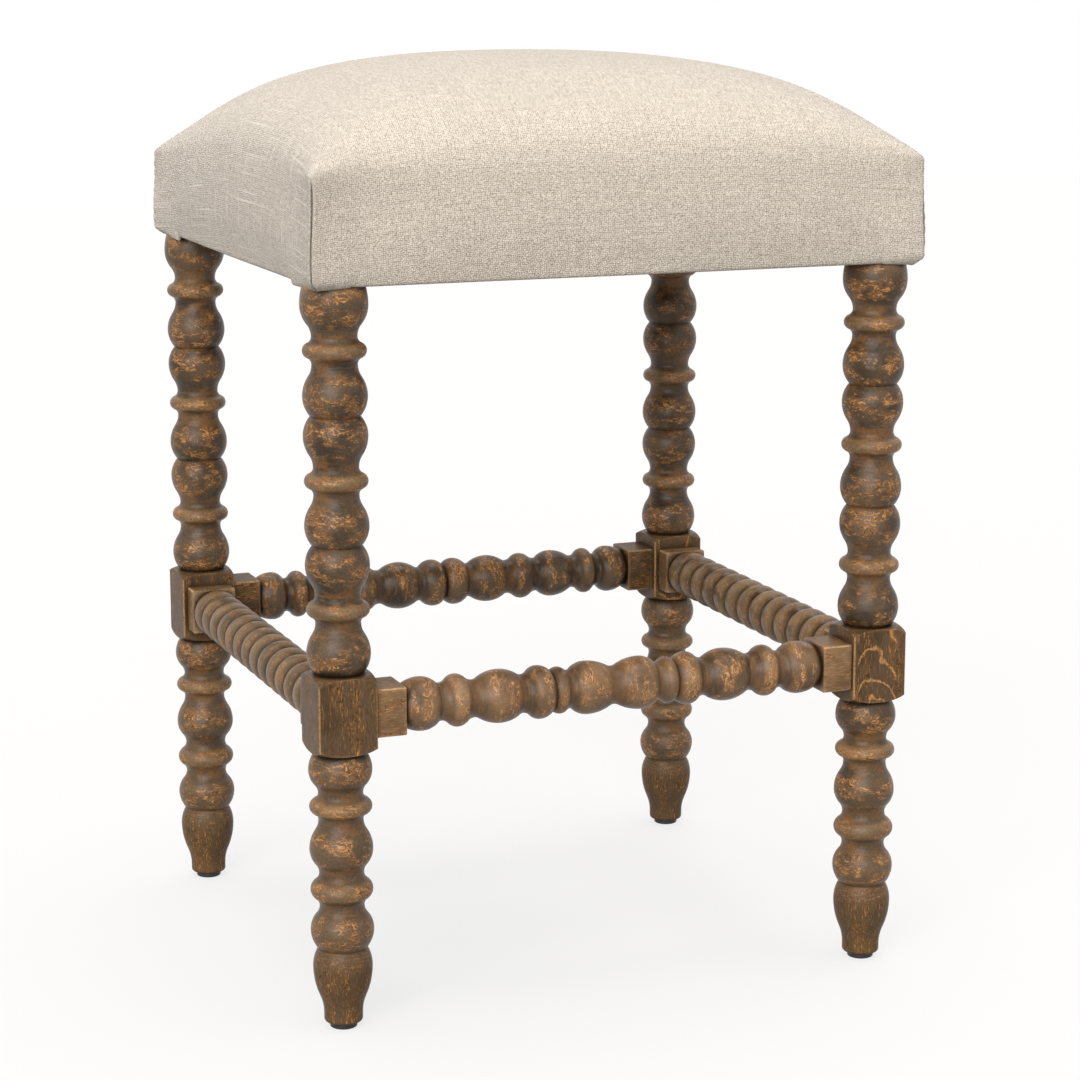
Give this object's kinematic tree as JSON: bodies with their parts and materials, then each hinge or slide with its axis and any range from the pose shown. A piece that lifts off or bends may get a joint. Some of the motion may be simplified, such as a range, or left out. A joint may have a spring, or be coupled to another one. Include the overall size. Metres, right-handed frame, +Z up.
{
  "type": "counter stool",
  "caption": "Backless counter stool with a crowned linen-covered seat on bobbin-turned wooden legs, joined by turned stretchers at foot height.",
  "frame": {"origin": "floor level at the centre of the seat and of the four legs", "axes": "+Z up from the floor, -Y towards the front, X from the left side to the right side seen from the front"},
  "size_m": [0.4486, 0.4164, 0.66],
  "materials": {
    "turned_wood": "weathered grey-brown stain, rubbed through on the crests, satin",
    "frame_wood": "planed, unfinished",
    "plywood": "sanded, unfinished",
    "linen": "plain weave with slubs, matte",
    "batting": "polyester wadding",
    "foam": "open-cell foam",
    "dust_cloth": "bonded non-woven cloth, matte",
    "glide_nylon": "moulded, matte",
    "steel": "zinc plated"
  },
  "bodies": {
    "root": {"leg_front_left": "turned_wood", "leg_front_right": "turned_wood", "leg_back_left": "turned_wood", "leg_back_right": "turned_wood", "stretcher_front": "turned_wood", "stretcher_back": "turned_wood", "stretcher_left": "turned_wood", "stretcher_right": "turned_wood", "glide_front_left": "glide_nylon", "glide_front_right": "glide_nylon", "glide_back_left": "glide_nylon", "glide_back_right": "glide_nylon", "glide_nails": "steel", "leg_bolts": "steel", "tee_nuts": "steel", "deck_screws": "steel", "corner_post_front_left": "frame_wood", "corner_post_front_right": "frame_wood", "corner_post_back_left": "frame_wood", "corner_post_back_right": "frame_wood", "seat_rail_front": "frame_wood", "seat_rail_back": "frame_wood", "seat_rail_left": "frame_wood", "seat_rail_right": "frame_wood", "rail_dowels": "frame_wood", "seat_deck": "plywood", "seat_foam": "foam", "seat_batting": "batting", "seat_cover": "linen", "dust_cover": "dust_cloth"}
  },
  "joints": []
}
